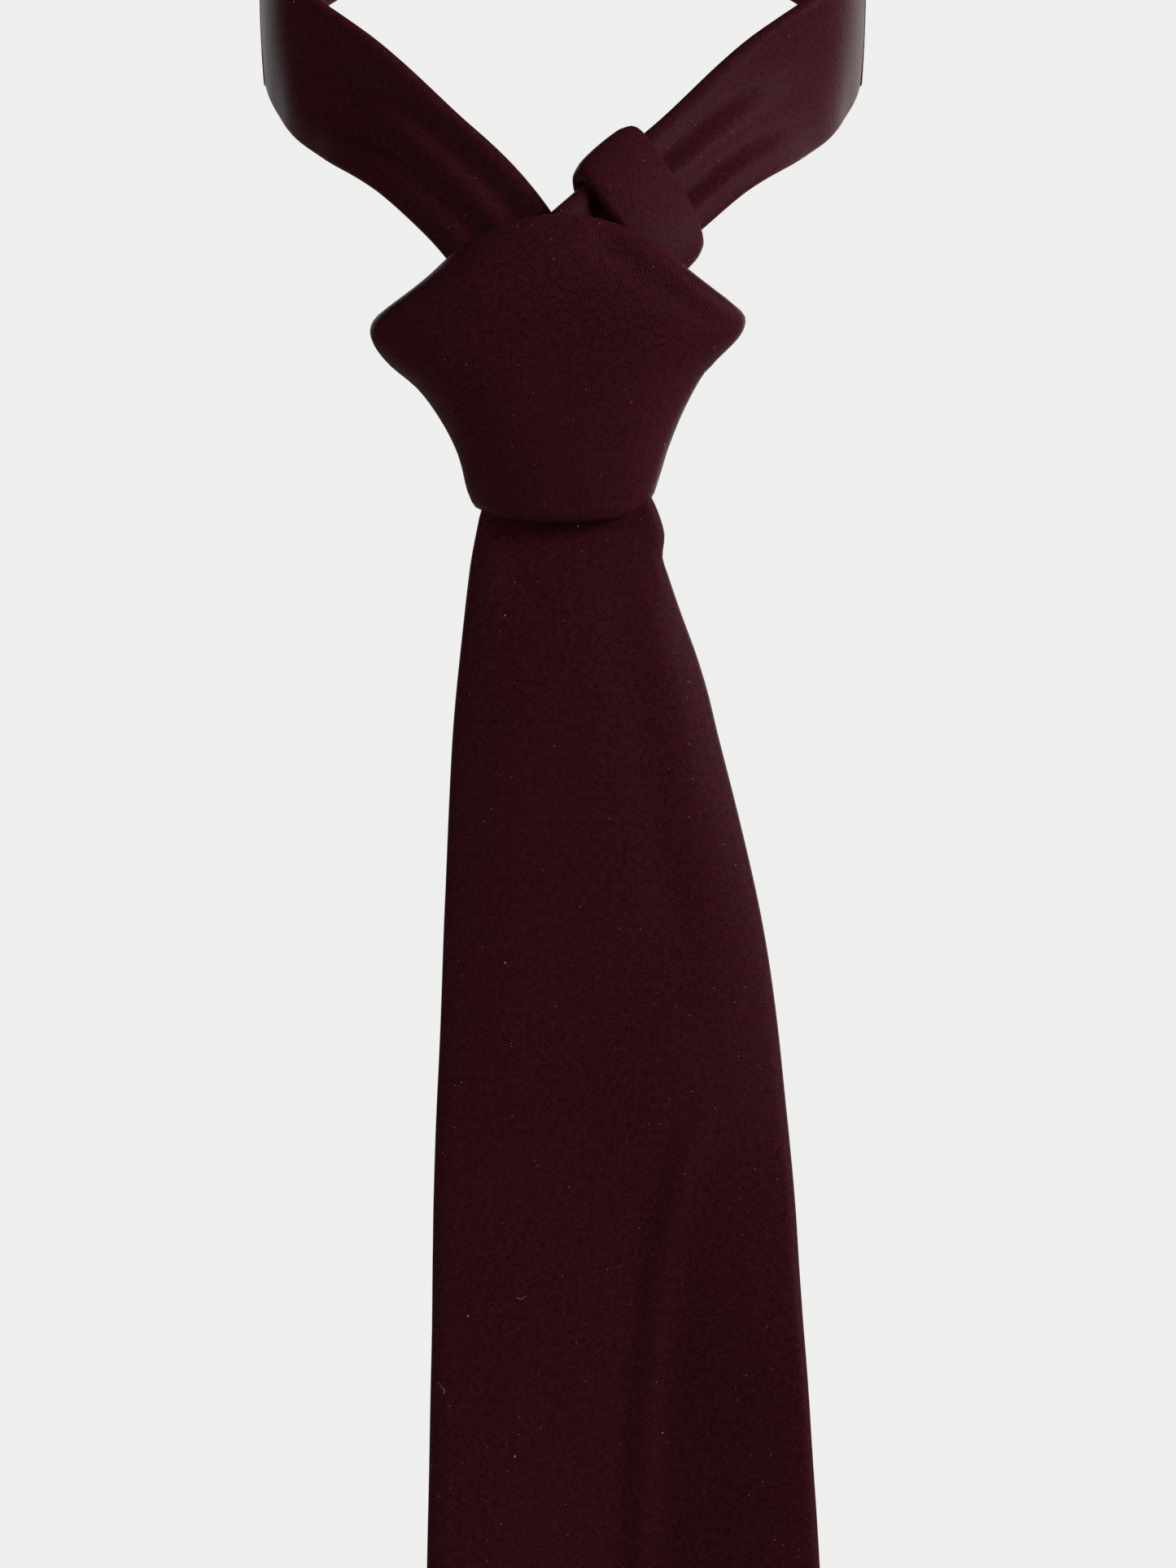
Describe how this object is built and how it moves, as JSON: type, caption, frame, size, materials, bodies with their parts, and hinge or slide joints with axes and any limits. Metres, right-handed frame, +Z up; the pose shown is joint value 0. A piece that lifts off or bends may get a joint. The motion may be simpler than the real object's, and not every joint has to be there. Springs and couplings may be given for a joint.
{
  "type": "necktie",
  "caption": "Long dark burgundy necktie tied in a half-Windsor knot, with a neck loop, a wide pointed front blade and a narrow tail held by a keeper loop behind it.",
  "frame": {"origin": "centre of the neck loop, on the axis of the neck that holds the tie up", "axes": "+Z up along the hanging tie, -Y towards the viewer of its front face, +X to that viewer's right"},
  "size_m": [0.1232, 0.1445, 0.57],
  "materials": {
    "shell_cloth": "dark burgundy satin-faced twill, soft low sheen",
    "tipping_cloth": "dark burgundy smooth lining",
    "interlining_wool": "off-white brushed wool blend, matt",
    "sewing_thread": "dark burgundy polyester thread",
    "label_tape": "plain dark woven tape, blank"
  },
  "bodies": {
    "neck_loop": {"neck_panel_shell": "shell_cloth", "front_leg_shell": "shell_cloth", "tail_leg_shell": "shell_cloth", "front_leg_lower": "shell_cloth", "tail_leg_lower": "shell_cloth", "neck_interlining": "interlining_wool", "front_piecing_seam": "sewing_thread", "tail_piecing_seam": "sewing_thread", "neck_slip_stitch": "sewing_thread"},
    "knot": {"knot_front_wrap": "shell_cloth", "knot_wrap_interlining": "interlining_wool", "knot_back_band": "shell_cloth", "knot_center_pass": "shell_cloth", "knot_tail_core": "shell_cloth", "knot_first_cross": "shell_cloth", "knot_side_turn": "shell_cloth"},
    "front_blade": {"blade_shell": "shell_cloth", "blade_interlining": "interlining_wool", "blade_tipping": "tipping_cloth", "blade_slip_stitch": "sewing_thread", "blade_bar_tack": "sewing_thread", "keeper_loop": "shell_cloth", "keeper_tack_left": "sewing_thread", "keeper_tack_right": "sewing_thread", "care_label": "label_tape", "tail_upper": "shell_cloth"},
    "tail": {"tail_shell": "shell_cloth", "tail_interlining": "interlining_wool", "tail_tipping": "tipping_cloth", "tail_slip_stitch": "sewing_thread", "tail_bar_tack": "sewing_thread"}
  },
  "joints": [
    {"name": "knot_slide", "type": "slide", "parent": "neck_loop", "child": "knot", "axis": [0, 0, -1], "range_m": [0, 0.05], "deforming": ["front_leg_lower", "tail_leg_lower"]},
    {"name": "blade_swing", "type": "hinge", "parent": "knot", "child": "front_blade", "pos_m": [0, -0.0684, -0.1116], "axis": [-1, 0, 0], "range_deg": [0, 75]},
    {"name": "tail_slide", "type": "slide", "parent": "front_blade", "child": "tail", "axis": [-0.0365, 0, 0.9993], "range_m": [0, 0.1], "deforming": ["tail_upper"]}
  ],
  "couplings": [
    {"joint": "tail_slide", "follows": "knot_slide", "ratio": 2}
  ]
}
